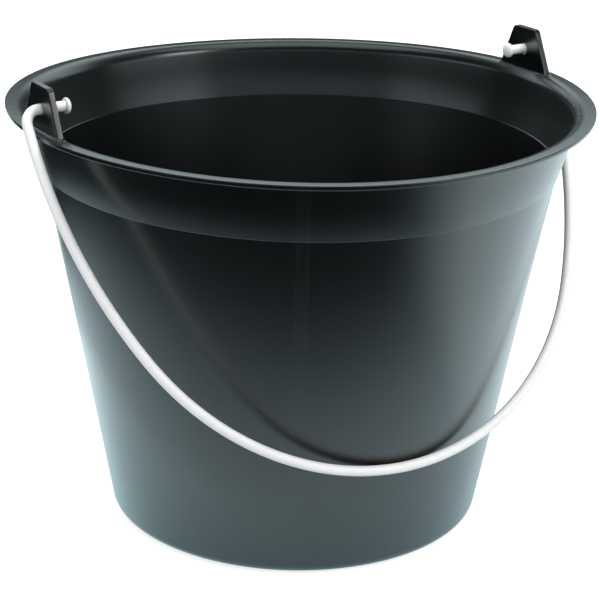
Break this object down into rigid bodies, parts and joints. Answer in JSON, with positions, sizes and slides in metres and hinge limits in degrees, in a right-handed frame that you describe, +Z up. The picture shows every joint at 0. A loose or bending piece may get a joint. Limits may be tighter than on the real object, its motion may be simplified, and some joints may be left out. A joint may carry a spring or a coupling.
{
  "type": "florist bucket",
  "caption": "Tapered round plastic bucket with a stepped collar, a flat lip and upright ears, and a swinging wire bail with headed ends.",
  "frame": {"origin": "middle of the base, on the ground that the bucket stands on", "axes": "+Z up through the middle of the mouth, X through both ears along the bail's axis, -Y the side against which the bail hangs at rest"},
  "size_m": [0.332, 0.32, 0.262],
  "materials": {
    "bucket_plastic": "satin",
    "bail_wire": "satin"
  },
  "bodies": {
    "bucket": {"bucket": "bucket_plastic"},
    "bail": {"bail": "bail_wire"}
  },
  "joints": [
    {"name": "bail_swing", "type": "hinge", "parent": "bucket", "child": "bail", "pos_m": [0, 0, 0.2493], "axis": [-1, 0, 0], "range_deg": [0, 293.7]}
  ]
}
